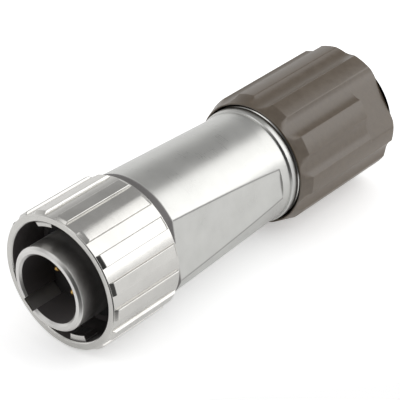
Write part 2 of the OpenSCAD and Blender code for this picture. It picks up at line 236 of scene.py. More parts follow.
class PLUG_PG_finish(bpy.types.PropertyGroup):
    """Colours of the finishes, and the stage."""

    bright: tint("Bright nickel", "Nickel plate of sleeve and gland", (0.63, 0.62, 0.595))
    nose: tint("Blasted nickel", "Duller plate of the nose", (0.74, 0.73, 0.71))
    satin: tint("Satin nickel", "Nickel plate of the barrel", (0.59, 0.59, 0.57))
    steel: tint("Steel", "Springs, rings and ferrule", (0.45, 0.45, 0.46))
    gold: tint("Gold plate", "Plate of the contacts", (0.83, 0.52, 0.17))
    nut: tint("Nut plastic", "Moulded plastic of the clamp nut", (0.112, 0.080, 0.050))
    nut_light: tint("Nut plastic, light", "Paler flecks of that plastic", (0.145, 0.110, 0.074))
    black: tint("Black plastic", "Plastic of insulators and collet", (0.045, 0.042, 0.042))
    rubber: tint("Rubber", "Seals and grommet", (0.010, 0.010, 0.011))
    floor: tint("Floor", "Floor and backdrop", (0.86, 0.86, 0.86))


def sizes(group):
    """The group's sizes as plain numbers: lengths in mm, angles in radians."""
    values = {}
    for key in group.__annotations__:
        prop = group.bl_rna.properties[key]
        value = getattr(group, key)
        values[key] = value / MM if prop.unit == "LENGTH" else value
    return type("Sizes", (), values)


# ---------- surfaces ----------


def rounded(corners, radii, steps=4, ease=0.03):
    """A closed profile whose corners are arcs.

    Where two sides turn by an angle t, the arc of the given radius starts
    radius * tan(t / 2) before the corner and ends as far behind it. One more
    point stands an ease before and behind each arc, to keep the sides flat.
    """
    p = np.asarray(corners, float)
    into, out = p - np.roll(p, 1, 0), np.roll(p, -1, 0) - p
    len_in, len_out = np.hypot(*into.T), np.hypot(*out.T)
    u, v = into / len_in[:, None], out / len_out[:, None]
    cross = u[:, 0] * v[:, 1] - u[:, 1] * v[:, 0]
    turn = np.arctan2(cross, (u * v).sum(1))
    half = np.maximum(np.abs(np.tan(turn / 2)), 1e-6)
    reach = np.minimum(np.asarray(radii) * half, 0.42 * np.minimum(len_in, len_out))
    start, end = p - u * reach[:, None], p + v * reach[:, None]
    arm = np.sign(cross)[:, None] * np.stack([u[:, 1], -u[:, 0]], 1) * (reach / half)[:, None]
    centre = start - arm
    a = turn[:, None] * np.linspace(0, 1, steps + 1)
    arc = centre[:, None] + np.stack([
        np.cos(a) * arm[:, :1] - np.sin(a) * arm[:, 1:],
        np.sin(a) * arm[:, :1] + np.cos(a) * arm[:, 1:],
    ], -1)
    before = start - u * np.minimum(ease, 0.05 * len_in)[:, None]
    behind = end + v * np.minimum(ease, 0.05 * len_out)[:, None]
    return np.concatenate([before[:, None], arc, behind[:, None]], 1).reshape(-1, 2)


def refine(profile, step, near=None, reach=0.5, above=0.0):
    """Splits the sides of a closed profile into equal parts no longer than step.

    With near, only sides whose middle is within reach of one of those lengths
    are split. Sides whose middle has a radius below the given one are left whole.
    """
    side = np.roll(profile, -1, 0) - profile
    count = np.maximum(1, np.ceil(np.hypot(*side.T) / step)).astype(int)
    middle, middle_r = (profile + side / 2).T
    if near is not None:
        count[(np.abs(middle[:, None] - np.asarray(near)) > reach).all(1)] = 1
    count[middle_r < above] = 1
    which = np.repeat(np.arange(len(profile)), count)
    part = (np.arange(len(which)) - (np.cumsum(count) - count)[which]) / count[which]
    return profile[which] + side[which] * part[:, None]


def turned(profile, angles, radius=None):
    """Carries a profile round the axis: (r cos a, y, r sin a).

    radius(y, r, a) may give another radius for each length and angle.
    """
    y, r = profile[:, :1], profile[:, 1:]
    a = np.asarray(angles, float)
    a = a if a.ndim == 2 else a[None, :]
    r = r if radius is None else radius(y, r, a)
    return np.stack(np.broadcast_arrays(r * np.cos(a), y, r * np.sin(a)), -1)


def around(count):
    """Evenly spaced angles once round."""
    return np.linspace(0, 2 * math.pi, count, endpoint=False)


def angles_at(edges, count=180, spread=math.radians(1.2), steps=9):
    """Even angles, with a close-set group of more around each given edge."""
    close = np.asarray(edges, float)[:, None] + np.linspace(-spread, spread, steps)
    every = np.concatenate([around(count), close.ravel()]) % (2 * math.pi)
    return np.unique(np.round(every, 5))


def edges(centre, half, count=2):
    """Both edges of each of some features of a half-width, evenly spaced round the axis."""
    turn = 2 * math.pi / count
    return [centre + k * turn + side * half for k in range(count) for side in (-1, 1)]


def off_from(a, centre, period=2 * math.pi):
    """Signed angle from the nearest of the evenly repeated centres."""
    return (a - centre + period / 2) % period - period / 2


def soft_min(a, b, k):
    """The smaller of two values, with the crease between them rounded over about k."""
    low = np.minimum(a, b)
    return low - k * np.log1p(np.exp(-np.abs(a - b) / k))


def ramp(x, low, high):
    """0 below low and 1 above high, with a straight slope between them."""
    return np.clip((x - low) / (high - low), 0, 1)


def flat_radius(half, off):
    """Radius of a flat that lies half from the axis, at an angle off its middle."""
    return np.where(np.abs(off) < 1.2, half / np.cos(np.clip(off, -1.2, 1.2)), 1e3)


def convexity(points, wrap):
    """How sharply the surface bends outwards at each point, from 0 to 1.

    It is the turn of the unit normal to the four neighbours on the grid, kept
    only where those neighbours lie below the point's own plane.
    """
    pad = np.pad(points, ((1, 1), (0, 0), (0, 0)), mode="wrap" if wrap else "edge")
    pad = np.pad(pad, ((0, 0), (1, 1), (0, 0)), mode="wrap")
    along, across = pad[2:, 1:-1] - pad[:-2, 1:-1], pad[1:-1, 2:] - pad[1:-1, :-2]
    n = np.cross(along, across)
    n /= np.maximum(np.linalg.norm(n, axis=-1, keepdims=True), 1e-12)
    m = np.pad(n, ((1, 1), (0, 0), (0, 0)), mode="wrap" if wrap else "edge")
    m = np.pad(m, ((0, 0), (1, 1), (0, 0)), mode="wrap")
    views = [(slice(2, None), slice(1, -1)), (slice(None, -2), slice(1, -1)),
             (slice(1, -1), slice(2, None)), (slice(1, -1), slice(None, -2))]
    bend = np.max([1 - (m[v] * n).sum(-1) for v in views], axis=0)
    below = np.sum([((pad[v] - points) * n).sum(-1) for v in views], axis=0)
    return np.where(below < 0, np.clip(bend * 12, 0, 1), 0)


def skin(grids):
    """Vertices, four-sided faces and edge values of one or more grids.

    A grid is closed across its columns, and along its rows too unless it is
    given as (points, False), when its first and last rows are poles.
    """
    verts, faces, edge, base = [], [], [], 0
    for grid in grids:
        points, wrap = grid if isinstance(grid, tuple) else (grid, True)
        rows, cols = points.shape[:2]
        at = np.arange(rows * cols).reshape(rows, cols) + base
        here, next_row = (at, np.roll(at, -1, 0)) if wrap else (at[:-1], at[1:])
        faces.append(np.stack(
            [here, next_row, np.roll(next_row, -1, 1), np.roll(here, -1, 1)], -1
        ).reshape(-1, 4))
        verts.append(points.reshape(-1, 3))
        edge.append(convexity(points, wrap).ravel())
        base += rows * cols
    return np.concatenate(verts), np.concatenate(faces), np.concatenate(edge)


def piece(name, grids, slot, body, nodes, poles=False, lining=None):
    """Makes a smooth-shaded piece from grids in mm that stands for some CAD nodes.

    Its finish comes from the slot. It is fixed to a body of the frame, unless that is
    None, for a piece that is blended between two bodies. lining(points) marks,
    from 0 to 1, where shade is painted on the surface as a dark colour.
    """
    verts, faces, edge = skin(grids)
    dark = np.zeros(len(verts)) if lining is None else lining(verts)
    verts = verts * MM + np.array([0, RIM, 0])
    mesh = bpy.data.meshes.new(name)
    mesh.from_pydata(verts.tolist(), [], faces.tolist())
    wear = mesh.attributes.new("edge", "FLOAT", "POINT")
    wear.data.foreach_set("value", edge.astype(np.float32))
    # painted shade: a 0 to 1 mask of where the surface gets a dark colour in place of real shade
    black = mesh.attributes.new("lining", "FLOAT", "POINT")
    black.data.foreach_set("value", dark.astype(np.float32))
    if poles:
        bm = bmesh.new()
        bm.from_mesh(mesh)
        bmesh.ops.remove_doubles(bm, verts=bm.verts, dist=1e-7)
        bm.to_mesh(mesh)
        bm.free()
    mesh.shade_smooth()
    mesh.set_sharp_from_angle(angle=math.radians(50))
    obj = bpy.data.objects.new(name, mesh)
    bpy.context.scene.collection.objects.link(obj)
    mesh.materials.append(finishes()[slot])
    if body:
        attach(obj, body)
    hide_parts(*nodes)
    return obj


# ---------- finishes ----------

FINISHES = {}
PAINTED_SHADE_COLOUR = (0.11, 0.10, 0.10)  # painted shade: the dark colour painted into the bore, the mouth and the barrel's collar


def node_group(name, inputs, outputs):
    """A shader node group with float or vector sockets: (group, input node, output node)."""
    group = bpy.data.node_groups.new(name, "ShaderNodeTree")
    for label, kind, default in inputs:
        socket = group.interface.new_socket(label, in_out="INPUT", socket_type=kind)
        if default is not None:
            socket.default_value = default
    for label, kind in outputs:
        group.interface.new_socket(label, in_out="OUTPUT", socket_type=kind)
    return group, group.nodes.new("NodeGroupInput"), group.nodes.new("NodeGroupOutput")


def fill(tree, node, inputs):
    """Gives a node's inputs their values or links."""
    for key, value in inputs.items():
        if isinstance(value, bpy.types.NodeSocket):
            tree.links.new(value, node.inputs[key])
        else:
            node.inputs[key].default_value = value
    return node


def add(tree, kind, inputs=None, **settings):
    """Adds a node, sets it up, and fills its inputs."""
    node = tree.nodes.new(kind)
    for key, value in settings.items():
        setattr(node, key, value)
    return fill(tree, node, inputs or {})


def turning_marks():
    """Fine rings left by the lathe, and slow patches in the plate.

    Rings are noise read at (x * low, y * high, z * low), so that they change
    quickly along the axis and slowly round it.
    """
    group, given, result = node_group(
        "Turning marks",
        [("Vector", "NodeSocketVector", None), ("Rings", "NodeSocketFloat", 9000.0),
         ("Round", "NodeSocketFloat", 120.0), ("Patches", "NodeSocketFloat", 260.0)],
        [("Ring", "NodeSocketFloat"), ("Patch", "NodeSocketFloat")],
    )
    stretch = add(group, "ShaderNodeCombineXYZ", {
        "X": given.outputs["Round"], "Y": given.outputs["Rings"], "Z": given.outputs["Round"]})
    scaled = add(group, "ShaderNodeVectorMath", {
        0: given.outputs["Vector"], 1: stretch.outputs[0]}, operation="MULTIPLY")
    rings = add(group, "ShaderNodeTexNoise", {
        "Vector": scaled.outputs[0], "Scale": 1.0, "Detail": 3.0, "Roughness": 0.6})
    patches = add(group, "ShaderNodeTexNoise", {
        "Vector": given.outputs["Vector"], "Scale": given.outputs["Patches"],
        "Detail": 4.0, "Roughness": 0.55})
    fill(group, result, {"Ring": rings.outputs["Fac"], "Patch": patches.outputs["Fac"]})
    return group


def moulded_grain():
    """The fine texture of a spark-eroded mould: pits between rounded grains."""
    group, given, result = node_group(
        "Moulded grain",
        [("Vector", "NodeSocketVector", None), ("Scale", "NodeSocketFloat", 6500.0)],
        [("Grain", "NodeSocketFloat"), ("Fleck", "NodeSocketFloat")],
    )
    cells = add(group, "ShaderNodeTexVoronoi", {
        "Vector": given.outputs["Vector"], "Scale": given.outputs["Scale"]},
        feature="SMOOTH_F1")
    fleck = add(group, "ShaderNodeTexNoise", {
        "Vector": given.outputs["Vector"], "Scale": 900.0, "Detail": 5.0, "Roughness": 0.65})
    fill(group, result, {"Grain": cells.outputs["Distance"], "Fleck": fleck.outputs["Fac"]})
    return group


def edge_wear():
    """Where the plate or the plastic is rubbed: the edge values, broken up by noise."""
    group, given, result = node_group(
        "Edge wear",
        [("Vector", "NodeSocketVector", None), ("Amount", "NodeSocketFloat", 1.0)],
        [("Wear", "NodeSocketFloat")],
    )
    edge = add(group, "ShaderNodeAttribute", attribute_name="edge")
    noise = add(group, "ShaderNodeTexNoise", {
        "Vector": given.outputs["Vector"], "Scale": 700.0, "Detail": 3.0})
    mask = add(group, "ShaderNodeMapRange", {
        "Value": noise.outputs["Fac"], "From Min": 0.35, "From Max": 0.65})
    both = add(group, "ShaderNodeMath", {0: edge.outputs["Fac"], 1: mask.outputs[0]},
               operation="MULTIPLY")
    out = add(group, "ShaderNodeMath", {0: both.outputs[0], 1: given.outputs["Amount"]},
              operation="MULTIPLY", use_clamp=True)
    group.links.new(out.outputs[0], result.inputs["Wear"])
    return group


def use(tree, maker, inputs):
    """Places a shared group in a material, built the first time it is asked for."""
    name = maker.__name__.replace("_", " ").capitalize()
    group = bpy.data.node_groups.get(name) or maker()
    return add(tree, "ShaderNodeGroup", node_tree=group, inputs=inputs)


def new_finish(name):
    """An empty material: (material, tree, Principled node, Object coordinates)."""
    old = bpy.data.materials.get(name)
    if old:
        bpy.data.materials.remove(old)
    finish = bpy.data.materials.new(name)
    finish.use_nodes = True
    tree = finish.node_tree
    shader = tree.nodes["Principled BSDF"]
    place = tree.nodes.new("ShaderNodeTexCoord").outputs["Object"]
    return finish, tree, shader, place


def blend_colours(tree, factor, first, second):
    """A colour between two, as a socket."""
    ends = [v if isinstance(v, bpy.types.NodeSocket) else (*v, 1.0) for v in (first, second)]
    mix = add(tree, "ShaderNodeMix", data_type="RGBA")
    a, b = (next(i for i, s in enumerate(mix.inputs) if s.name == key and s.type == "RGBA")
            for key in "AB")
    fill(tree, mix, {0: factor, a: ends[0], b: ends[1]})
    return next(s for s in mix.outputs if s.type == "RGBA")


def map_to(tree, value, low, high, from_low=0.3, from_high=0.7):
    """Maps a value to a range, as a socket."""
    return add(tree, "ShaderNodeMapRange", {
        "Value": value, "From Min": from_low, "From Max": from_high,
        "To Min": low, "To Max": high}).outputs[0]


def plated(name, colour, roughness, rings=9000.0, depth=0.0012, patch=0.04, wear=0.5):
    """A plated, turned metal: a hard reflection softened by rings and patches."""
    finish, tree, shader, place = new_finish(name)
    marks = use(tree, turning_marks, {"Vector": place, "Rings": rings})
    rub = use(tree, edge_wear, {"Vector": place, "Amount": wear})
    dull = tuple(c * (1 - 2 * patch) for c in colour)
    light = tuple(min(1, c * (1 + patch)) for c in colour)
    worn = tuple(min(1, c * 1.25) for c in colour)
    base = blend_colours(tree, map_to(tree, marks.outputs["Patch"], 0, 1), dull, light)
    base = blend_colours(tree, rub.outputs["Wear"], base, worn)
    # painted shade: where the lining attribute is set, the metal turns into a dark, rougher
    # non-metal colour
    dark = add(tree, "ShaderNodeAttribute", attribute_name="lining").outputs["Fac"]
    base = blend_colours(tree, dark, base, PAINTED_SHADE_COLOUR)
    bare = add(tree, "ShaderNodeMath", {0: 1.0, 1: dark}, operation="SUBTRACT", use_clamp=True)
    rough = add(tree, "ShaderNodeMath", {
        0: map_to(tree, marks.outputs["Ring"], -0.03, 0.03),
        1: map_to(tree, marks.outputs["Patch"], roughness - 0.02, roughness + 0.03)})
    rough = add(tree, "ShaderNodeMath", {
        0: rough.outputs[0], 1: map_to(tree, dark, 0.0, 0.3, 0.0, 1.0)})
    bump = add(tree, "ShaderNodeBump", {
        "Height": marks.outputs["Ring"], "Strength": 0.35, "Distance": depth * MM})
    fill(tree, shader, {"Base Color": base, "Metallic": bare.outputs[0],
                        "Roughness": rough.outputs[0], "Normal": bump.outputs[0]})
    return finish


def moulded(name, colour, light, roughness, depth=0.01, specular=0.5, wear=0.6):
    """A moulded plastic or rubber: two tones, a mould grain, and paler rubbed edges."""
    finish, tree, shader, place = new_finish(name)
    grain = use(tree, moulded_grain, {"Vector": place})
    rub = use(tree, edge_wear, {"Vector": place, "Amount": wear})
    base = blend_colours(tree, map_to(tree, grain.outputs["Fleck"], 0, 1), colour, light)
    pale = tuple(min(1, c * 1.5 + 0.01) for c in light)
    base = blend_colours(tree, rub.outputs["Wear"], base, pale)
    rough = map_to(tree, grain.outputs["Fleck"], roughness - 0.05, roughness + 0.06)
    bump = add(tree, "ShaderNodeBump", {
        "Height": grain.outputs["Grain"], "Strength": 0.3, "Distance": depth * MM})
    fill(tree, shader, {"Base Color": base, "Roughness": rough,
                        "Specular IOR Level": specular, "Normal": bump.outputs[0]})
    return finish


def finishes():
    """Every finish by its slot name, made once."""
    if not FINISHES:
        c = bpy.context.scene.plug_finish
        rgb = {key: tuple(getattr(c, key)) for key in c.__annotations__}
        FINISHES.update({
            "bright_nickel": plated("Bright nickel", rgb["bright"], 0.21),
            "nose_nickel": plated("Blasted nickel", rgb["nose"], 0.36, depth=0.002, patch=0.06),
            "satin_nickel": plated("Satin nickel", rgb["satin"], 0.30, depth=0.0008),
            "spring_steel": plated("Spring steel", rgb["steel"], 0.34),
            "gold_plate": plated("Gold plate", rgb["gold"], 0.30, patch=0.02),
            "brown_plastic": moulded(
                "Nut plastic", rgb["nut"], rgb["nut_light"], 0.33, specular=0.9),
            "black_plastic": moulded(
                "Black plastic", rgb["black"], tuple(v * 1.5 for v in rgb["black"]), 0.45),
            "black_rubber": moulded(
                "Black rubber", rgb["rubber"], tuple(v * 1.6 for v in rgb["rubber"]), 0.62),
        })
    return FINISHES


# ---------- operators ----------


class PlugOperator:
    """What every operator of the plug shares."""

    bl_options = {"REGISTER", "UNDO"}


class PLUG_OT_nose(PlugOperator, bpy.types.Operator):
    """Makes the nose with its keyway, hub and latch windows"""

    bl_idname = "plug.nose"
    bl_label = "Nose"

    def execute(self, context):
        s = sizes(context.scene.plug_nose)
        front = NOSE_FRONT
        seat = s.outer_r - s.seal_seat
        back = span("plug_shell")[1]
        corners = [
            (front, s.bore_r + 0.30), (front, s.outer_r - 0.35), (front + 0.35, s.outer_r),
            (s.seal_front, s.outer_r), (s.seal_front, seat), (s.hub_front, seat),
            (s.hub_front, s.hub_r), (s.hub_back, s.hub_r), (s.hub_back, s.tail_r),
            (back, s.tail_r), (back, s.seat_r), (s.seat_front, s.seat_r),
            (s.seat_front, s.bore_r), (front + 0.30, s.bore_r),
        ]
        radii = [0.08, 0.15, 0.20, 0.02, 0.02, 0.05,
                 0.10, 0.10, 0.05, 0.10, 0.05, 0.03, 0.03, 0.10]
        profile = refine(rounded(corners, radii), 0.4)
        profile = refine(profile, 0.05, near=[front], reach=0.02)
        half_w, floor_r = s.key_width / 2, s.bore_r + s.key_depth
        key_edges = [s.key_angle + side * math.asin(half_w / r)
                     for side in (-1, 1) for r in (s.bore_r, floor_r)]
        window_edges = edges(s.window_angle, s.window_width / 2)
        angles = angles_at(key_edges + window_edges, count=192)

        def radius(y, r, a):
            """The keyway's flat floor and straight walls, and the claws' windows."""
            off = off_from(a, s.key_angle)
            wall = half_w / np.maximum(np.abs(np.sin(off)), 1e-4)
            key = np.minimum(flat_radius(floor_r, off), wall)
            key = np.where(np.abs(off) < 1.0, key, 0)
            r = np.where(y < s.seat_front + 0.3, np.maximum(r, key), r)
            window = np.abs(off_from(a, s.window_angle, math.pi)) < s.window_width / 2
            in_hub = (y > s.hub_front - 0.2) & (y < s.hub_back + 0.2)
            return np.where(window & in_hub, np.minimum(r, 7.7), r)

        def lining(p):
            """Painted shade: black inside the bore, greyer in the keyway, fading in along the
            nose.
            """
            r = np.hypot(p[:, 0], p[:, 2])
            bore = (r < s.bore_r + 0.02) & (p[:, 1] > front + 0.34)
            floor = (r < s.seat_r + 0.3) & (p[:, 1] > front + 0.34) & ~bore
            root = ramp(p[:, 1], 0.8, 4.4) * ((r > s.outer_r - 0.5) & (p[:, 1] < s.hub_back))
            return np.maximum(np.maximum(bore, 0.6 * floor), root)

        piece("nose_shell", [turned(profile, angles, radius)], "nose_nickel", "shell",
              ["plug_shell"], lining=lining)
        seal_front, outer = span("interface_seal")[0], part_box("interface_seal")[1].x / MM
        seal = rounded([(seal_front, seat + 0.01), (seal_front, outer), (s.hub_front, outer),
                        (s.hub_front, seat + 0.01)], 0.15)
        piece("mouth_seal", [turned(seal, around(96))], "black_rubber", "shell",
              ["interface_seal"])
        return {"FINISHED"}


class PLUG_OT_contacts(PlugOperator, bpy.types.Operator):
    """Makes the four gold-plated contacts with round tips and solder cups"""

    bl_idname = "plug.contacts"
    bl_label = "Contacts"

    def execute(self, context):
        s = sizes(context.scene.plug_nose)
        for i in range(4):
            node = f"contact_{i + 1}"
            tip, back = span(node)
            step, split, cup = tip + 4.55, tip + 6.55, s.pin_r + 0.2
            nose = np.linspace(0, math.pi / 2, 12)
            profile = np.concatenate([
                np.stack([tip + s.pin_r * (1 - np.cos(nose)), s.pin_r * np.sin(nose)], 1),
                [(step - 0.03, s.pin_r), (step, s.pin_r), (step, s.pin_r + 0.32),
                 (step + 0.05, s.pin_r + 0.35), (split - 0.05, s.pin_r + 0.35),
                 (split, s.pin_r + 0.32), (split, cup), (split + 0.03, cup),
                 (back - 0.05, cup), (back, cup - 0.04), (back, cup - 0.14),
                 (back - 0.05, cup - 0.18), (back - 2.05, cup - 0.18), (back - 2.1, cup - 0.2),
                 (back - 2.1, 0)],
            ])
            grid = turned(profile, around(32))
            a = s.key_angle + (i + 0.5) * math.pi / 2
            grid = grid + np.array([s.circle_r * math.cos(a), 0, s.circle_r * math.sin(a)])
            piece(f"pin_{i + 1}", [(grid, False)], "gold_plate", "shell", [node], poles=True)
        return {"FINISHED"}


class PLUG_OT_sleeve(PlugOperator, bpy.types.Operator):
    """Makes the ribbed coupling sleeve with its guide lugs, and the spring in it"""

    bl_idname = "plug.sleeve"
    bl_label = "Coupling sleeve"

    def execute(self, context):
        s = sizes(context.scene.plug_sleeve)
        back, valley = SLEEVE_BACK, s.rib_r - s.rib_h
        corners = [
            (0, s.bore_r + 0.15), (0, valley - 0.12), (0.12, valley),
            (back - 0.12, valley), (back, valley - 0.12), (back, s.lip_r),
            (s.lip_front, s.lip_r), (s.lip_front, s.relief_r),
            (SNAP_BACK + 0.02, s.relief_r), (SNAP_BACK + 0.02, s.relief_r + 0.28),
            (SNAP_FRONT - 0.02, s.relief_r + 0.28), (SNAP_FRONT - 0.02, s.relief_r),
            (s.land_len, s.relief_r), (s.land_len, s.bore_r), (0.15, s.bore_r),
        ]
        profile = refine(rounded(corners, 0.06, steps=3), 0.9)
        rib_back = back - 0.2
        profile = refine(profile, 0.05, near=[0.35, rib_back - 0.3], reach=0.42, above=s.lip_r)
        profile = refine(profile, 0.05, near=[0.6], reach=0.5)
        profile = refine(profile, 0.07, near=[s.land_len - 0.1], reach=0.15)

        pitch = 2 * math.pi / s.rib_count
        half = pitch * s.rib_share / 200
        rib_edges = edges(s.rib_angle, half, s.rib_count)
        lug_edges = edges(s.rib_angle + math.pi / 2, s.lug_width / 2)
        angles = np.unique(np.concatenate([
            angles_at(rib_edges, count=72, spread=math.radians(1.3), steps=13),
            angles_at(lug_edges, count=72, spread=math.radians(1.2), steps=9)]))
        wall, k = math.radians(0.55), 0.045

        def radius(y, r, a):
            """Ribs outside, cut back at 45 degrees at both ends, and lugs in the mouth."""
            off = np.abs(off_from(a, s.rib_angle, pitch))
            flank = (half - off) / wall * s.rib_h
            ends = np.minimum(y - s.rim_len, (rib_back - y)) * s.rib_h / (s.rib_h + 0.1)
            rise = soft_min(soft_min(flank, s.rib_h, k), ends, k)
            outside = r > valley - 0.01
            r_out = valley + np.maximum(rise, 0)
            lug = np.abs(off_from(a, s.rib_angle + math.pi / 2, math.pi))
            side = ramp(s.lug_width / 2 - lug, 0, math.radians(0.8))
            drop = s.lug_h * side * ramp(y, 0.30, 0.42)
            in_mouth = (y < s.land_len + 0.01) & (r < s.bore_r + 0.03)
            return np.where(outside, r_out, np.where(in_mouth, r - drop, r))

        def lining(p):
            """Painted shade: black inside the mouth, apart from its rim and the lugs."""
            r = np.hypot(p[:, 0], p[:, 2])
            inside = (r < s.relief_r + 0.02) & (r > s.bore_r - 0.05)
            return ramp(p[:, 1], 0.18, 0.30) * (inside & (p[:, 1] < SNAP_FRONT))

        piece("ribbed_sleeve", [turned(profile, angles, radius)], "bright_nickel", "sleeve",
              ["coupling_sleeve"], lining=lining)
        spring = self.coil(s.coil_r, s.wire_r, SPRING_FRONT, SPRING_BACK, 3)
        coil = piece("coil_spring", [(spring, False)], "spring_steel", None,
                     ["return_spring"], poles=True)
        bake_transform(coil)
        return {"FINISHED"}

    @staticmethod
    def coil(radius, wire, front, back, turns):
        """A round wire on a helix: the wire's section is carried round the coil's radius.

        At an angle t round the coil and b round the wire, the radius is
        radius + wire cos b and the length is the helix's plus wire sin b. The
        ends shrink to a point.
        """
        t = np.linspace(0, 2 * math.pi * turns, turns * 96 + 1)[:, None]
        b = around(16)[None, ::-1]
        size = np.full_like(t, wire)
        size[[0, -1]] = 0
        t = np.concatenate([t[:1], t, t[-1:]])
        size = np.concatenate([size[:1], np.full((len(t) - 2, 1), wire), size[:1]])
        y = front + wire + (back - front - 2 * wire) * t / t[-1]
        r = radius + size * np.cos(b)
        return np.stack([r * np.cos(-t), y + size * np.sin(b), r * np.sin(-t)], -1)


class PLUG_OT_barrel(PlugOperator, bpy.types.Operator):
    """Makes the tapered barrel with its two wrench flats"""

    bl_idname = "plug.barrel"
    bl_label = "Barrel"

    def execute(self, context):
        s = sizes(context.scene.plug_barrel)
        back = BARREL_BACK
        flat_front, flat_back = s.collar_front - 1, s.taper_back - 0.05
        chamber = back - s.spigot_len - 0.1
        corners = [
            (NECK, s.tail_bore_r), (NECK, s.neck_r), (s.collar_front, s.neck_r),
            (s.collar_front, s.collar_r), (s.collar_back - 0.15, s.collar_r),
            (s.collar_back, s.collar_r - 0.08), (s.taper_front, s.taper_r),
            (s.taper_back, s.band_r), (s.band_back, s.band_r),
            (s.band_back, s.flange_r - 0.15), (s.band_back + 0.15, s.flange_r),
            (back - 0.15, s.flange_r), (back, s.flange_r - 0.15), (back, s.spigot_r + 0.05),
            (chamber, s.spigot_r + 0.05), (chamber, s.chamber_r),
            (s.chamber_front, s.chamber_r), (s.chamber_front, s.tail_bore_r),
        ]
        radii = [0.05, 0.05, 0.05, 0.12, 0.08, 0.06, 0.15, 0.5, 0.05,
                 0.06, 0.08, 0.08, 0.06, 0.04, 0.04, 0.05, 0.05, 0.05]
        profile = refine(rounded(corners, radii), 0.6)
        profile = refine(profile, 0.02, near=[flat_back, flat_front], reach=0.09)
        y, r = profile[:, :1], profile[:, 1:]

        half_angle = np.arccos(np.clip(s.flat_half / np.maximum(r, s.flat_half), 0, 1))
        half_angle = np.where(r < s.band_r, math.acos(s.flat_half / s.band_r), half_angle)
        t = np.linspace(0, 1, 41)[None, :-1]
        on_flat = half_angle * np.sin(math.pi * (t - 0.5))
        t = np.linspace(0, 1, 81)[None, :-1]
        on_round = half_angle + (math.pi - 2 * half_angle) * (1 - np.cos(math.pi * t)) / 2
        once = np.concatenate([on_flat, on_round], 1)
        angles = s.flat_angle + np.concatenate([once, once + math.pi], 1)

        def radius(y, r, a):
            """The two flats, with a short wall at each of their ends."""
            off = off_from(a, s.flat_angle, math.pi)
            cut = soft_min(r, flat_radius(s.flat_half, off), 0.03)
            share = ramp(y, flat_front - 0.02, flat_front) * (
                1 - ramp(y, flat_back, flat_back + 0.05))
            outside = r > s.flat_half + 0.01
            return np.where(outside, r + (cut - r) * share, r)

        def lining(p):
            """Painted shade in the groove behind the sleeve, and a thin painted dark line round
            the flats where their crease would reflect the dark.
            """
            y, r = p[:, 1], np.hypot(p[:, 0], p[:, 2])
            groove = 0.85 * ((y > s.collar_front) & (y < s.taper_front - 0.05) & (r > s.neck_r))
            share = ramp(y, s.taper_front, s.taper_back)
            full = s.taper_r + (s.band_r - s.taper_r) * share
            off = np.abs(off_from(np.arctan2(p[:, 2], p[:, 0]), s.flat_angle, math.pi))
            from_edge = (off - np.arccos(s.flat_half / full)) * full
            line = 0.55 * np.exp(-(from_edge / 0.10) ** 2)
            on_taper = (y > s.taper_front) & (y < s.taper_back) & (r > s.flat_half - 0.05)
            return np.maximum(groove, line * on_taper)

        piece("tapered_barrel", [turned(profile, angles, radius)], "satin_nickel", "shell",
              ["barrel"], lining=lining)
        return {"FINISHED"}


class PLUG_OT_gland(PlugOperator, bpy.types.Operator):
    """Makes the gland body with its flange, small ring and screw thread"""

    bl_idname = "plug.gland"
    bl_label = "Gland body"

    def execute(self, context):
        s = sizes(context.scene.plug_barrel)
        front, joint = BARREL_BACK - s.spigot_len, BARREL_BACK
        flange = joint + s.gland_flange
        ring = flange + s.ring_gap
        thread = ring + s.ring_len
        back, bore = GLAND_BACK, s.pocket_r - 0.8
        corners = [
            (front, bore), (front, s.spigot_r), (front + 1.8, s.spigot_r),
            (front + 1.8, s.spigot_r - 0.70), (front + 2.8, s.spigot_r - 0.70),
            (front + 2.8, s.spigot_r), (joint, s.spigot_r), (joint, s.flange_r - 0.15),
            (joint + 0.15, s.flange_r), (flange - 0.15, s.flange_r),
            (flange, s.flange_r - 0.15), (flange, s.thread_r + 0.2),
            (ring, s.thread_r + 0.2), (ring, s.flange_r - 0.4), (ring + 0.1, s.flange_r - 0.3),
            (thread - 0.1, s.flange_r - 0.3), (thread, s.flange_r - 0.4), (thread, s.thread_r),
            (back - 0.4, s.thread_r), (back, s.thread_r - 0.4),
            (back, s.pocket_r), (s.pocket_front, s.pocket_r), (s.pocket_front, bore),
        ]
        profile = refine(rounded(corners, 0.06), 0.8)
        profile = refine(profile, 0.09, near=[(thread + back) / 2], reach=(back - thread) / 2)

        def radius(y, r, a):
            """A right-hand thread: the radius falls and rises once for each pitch."""
            turn = (y / s.thread_pitch - a / (2 * math.pi)) % 1
            groove = np.clip(1.6 * np.abs(2 * turn - 1) - 0.3, 0, 1)
            fade = ramp(y, thread + 0.3, thread + 0.9) * (1 - ramp(y, back - 0.5, back - 0.1))
            outside = (r > s.thread_r - 0.3) & (y > thread + 0.05)
            return np.where(outside, r - s.thread_depth * (1 - groove) * fade, r)

        piece("gland_body_turned", [turned(profile, around(144), radius)],
              "bright_nickel", "shell", ["gland_body"])
        return {"FINISHED"}


